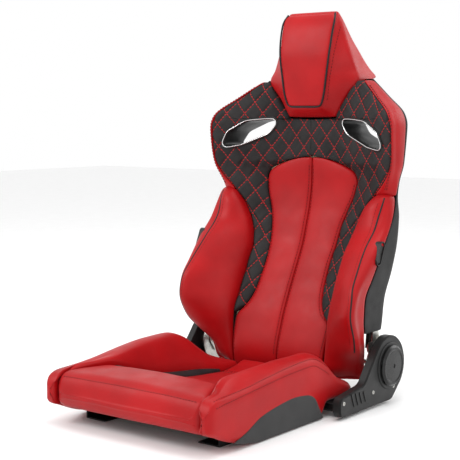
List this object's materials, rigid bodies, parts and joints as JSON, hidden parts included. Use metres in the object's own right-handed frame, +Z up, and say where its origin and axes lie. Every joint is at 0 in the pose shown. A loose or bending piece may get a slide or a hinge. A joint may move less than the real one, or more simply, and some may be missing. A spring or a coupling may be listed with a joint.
{
  "type": "reclining sport seat",
  "caption": "Bucket-shaped reclining sport seat with bolsters, harness openings, twin recliners, fold-forward backrest and base bolt holes.",
  "frame": {"origin": "centre of the four base bolts on the rails' underside", "axes": "+Z up, the occupant faces -Y, +X is the occupant's left"},
  "size_m": [0.59, 0.826, 0.935],
  "materials": {
    "red_leather": "smooth synthetic leather with fine grain",
    "black_leather": "smooth synthetic leather",
    "quilted_leather": "diamond stitched with red thread",
    "black_piping": "satin cord",
    "foam": "moulded open-cell foam",
    "black_fabric": "woven",
    "black_plastic": "fine moulded texture",
    "shell_plastic": "grained shell",
    "black_steel": "black e-coat",
    "zinc_steel": "zinc plated",
    "spring_steel": "oiled wire",
    "black_screw": "black oxide",
    "bright_trim": "bright"
  },
  "bodies": {
    "cushion_base": {"side_rail_left": "black_steel", "side_rail_right": "black_steel", "weld_nuts": "zinc_steel", "front_cross_tube": "black_steel", "middle_cross_tube": "black_steel", "rear_cross_tube": "black_steel", "seat_springs": "spring_steel", "front_pan": "black_steel", "thigh_roll": "red_leather", "seat_panel": "red_leather", "seat_rear_panel": "red_leather", "seat_insert_left": "black_leather", "seat_insert_right": "black_leather", "cushion_foam": "foam", "cushion_bolster_left": "red_leather", "cushion_bolster_right": "red_leather", "side_skirt_left": "black_fabric", "side_skirt_right": "black_fabric", "recliner_cover_left": "black_plastic", "recliner_cover_right": "black_plastic", "lower_hinge_plate_left": "black_steel", "lower_hinge_plate_right": "black_steel", "recliner_gear_left": "zinc_steel", "recliner_gear_right": "zinc_steel", "hinge_bolts": "zinc_steel", "cover_screws": "black_screw"},
    "recliner": {"recliner_hub_left": "zinc_steel", "recliner_hub_right": "zinc_steel"},
    "backrest": {"back_arm_left": "zinc_steel", "back_arm_right": "zinc_steel", "back_frame": "black_steel", "back_cross_bars": "black_steel", "lumbar_springs": "spring_steel", "back_panel_left": "red_leather", "back_panel_right": "red_leather", "quilted_panel_left": "quilted_leather", "quilted_panel_right": "quilted_leather", "shoulder_band_left": "red_leather", "shoulder_band_right": "red_leather", "lever_pocket_left": "black_plastic", "lever_pocket_right": "black_plastic", "lever_pins": "zinc_steel", "bolster_piping_left": "black_piping", "bolster_piping_right": "black_piping", "back_bolster_left": "red_leather", "back_bolster_right": "red_leather", "back_foam": "foam", "rear_shell": "shell_plastic", "headrest_cover": "red_leather", "headrest_insert": "red_leather", "headrest_piping": "black_piping", "harness_bezel_left": "black_plastic", "harness_bezel_right": "black_plastic", "bezel_rings": "bright_trim"},
    "hand_wheels": {"cross_shaft": "zinc_steel", "hand_wheel_left": "black_plastic", "hand_wheel_right": "black_plastic"},
    "release_lever_left": {"release_lever_left": "black_plastic"},
    "release_lever_right": {"release_lever_right": "black_plastic"}
  },
  "joints": [
    {"name": "recline", "type": "hinge", "parent": "cushion_base", "child": "recliner", "pos_m": [0, 0.311, 0.0915], "axis": [-1, 0, 0], "range_deg": [-5, 50]},
    {"name": "backrest_fold", "type": "hinge", "parent": "recliner", "child": "backrest", "pos_m": [0, 0.311, 0.0915], "axis": [1, 0, 0], "range_deg": [0, 35]},
    {"name": "hand_wheel_turn", "type": "hinge", "parent": "cushion_base", "child": "hand_wheels", "pos_m": [0, 0.311, 0.0915], "axis": [-1, 0, 0], "range_deg": [-120, 1200]},
    {"name": "release_pull_left", "type": "hinge", "parent": "backrest", "child": "release_lever_left", "pos_m": [0.268, 0.28391, 0.37753], "axis": [0, 0.9135, -0.4067], "range_deg": [0, 8], "stiffness_Nm_per_rad": 0.6, "springref_deg": -11.46},
    {"name": "release_pull_right", "type": "hinge", "parent": "backrest", "child": "release_lever_right", "pos_m": [-0.268, 0.28391, 0.37753], "axis": [0, -0.9135, 0.4067], "range_deg": [0, 8], "stiffness_Nm_per_rad": 0.6, "springref_deg": -11.46}
  ],
  "couplings": [
    {"joint": "hand_wheel_turn", "follows": "recline", "ratio": 24},
    {"joint": "release_pull_right", "follows": "release_pull_left", "ratio": 1}
  ]
}
